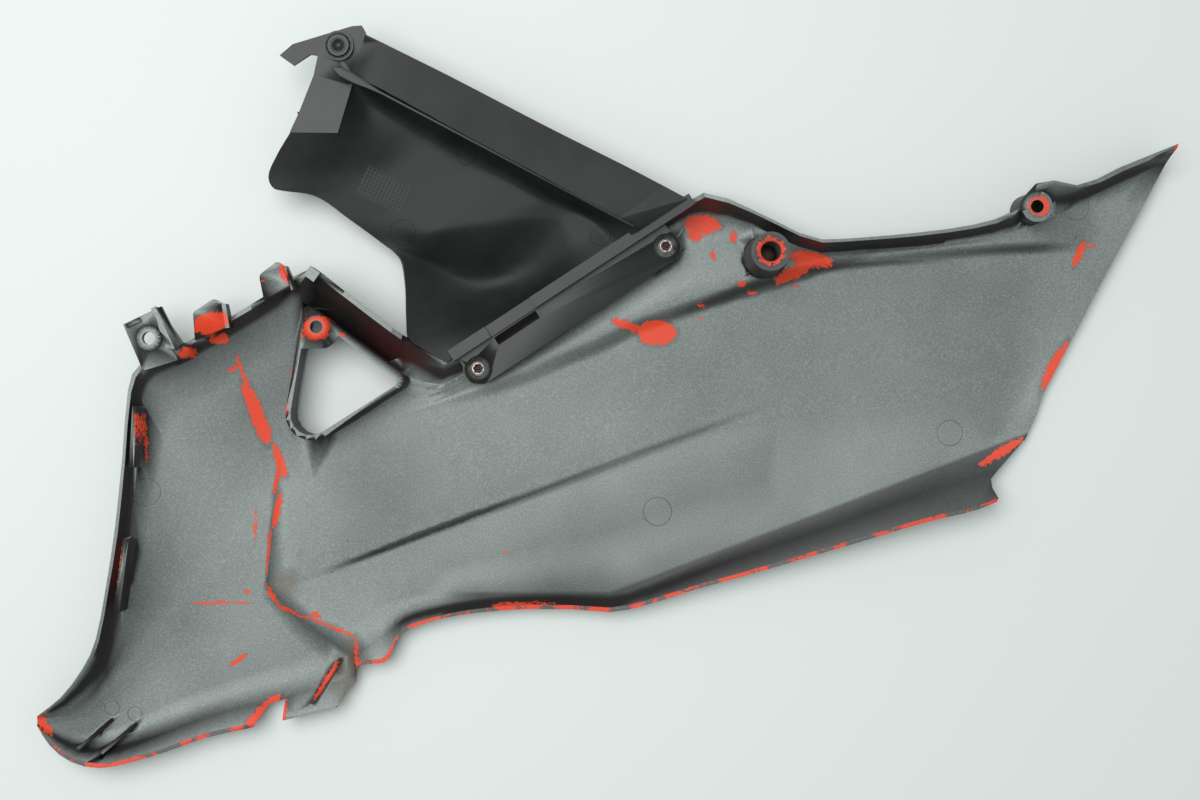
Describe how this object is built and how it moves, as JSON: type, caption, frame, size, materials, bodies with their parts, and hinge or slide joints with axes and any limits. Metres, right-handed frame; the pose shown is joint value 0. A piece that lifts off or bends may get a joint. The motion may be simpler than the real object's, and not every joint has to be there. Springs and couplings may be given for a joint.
{
  "type": "motorcycle belly pan",
  "caption": "Side half of a motorcycle belly pan: moulded panel with rims, window collar, bosses and tabs, and a screwed-on inner air guide.",
  "frame": {"origin": "centre of the outline, on the surface the panel lies on", "axes": "+X from the nose to the tail, +Y from the lower edge to the upper edge, +Z out of the inside face"},
  "size_m": [0.582, 0.3754, 0.045],
  "materials": {
    "painted_inside": "oversprayed moulding with orange undercoat in its chips",
    "black_plastic": "satin moulding",
    "zinc_steel": "plated",
    "black_nylon": "satin"
  },
  "bodies": {
    "root": {"side_panel": "painted_inside", "duct_panel": "black_plastic", "screws": "zinc_steel", "clip_body": "black_nylon", "clip_pin": "black_nylon"}
  },
  "joints": []
}
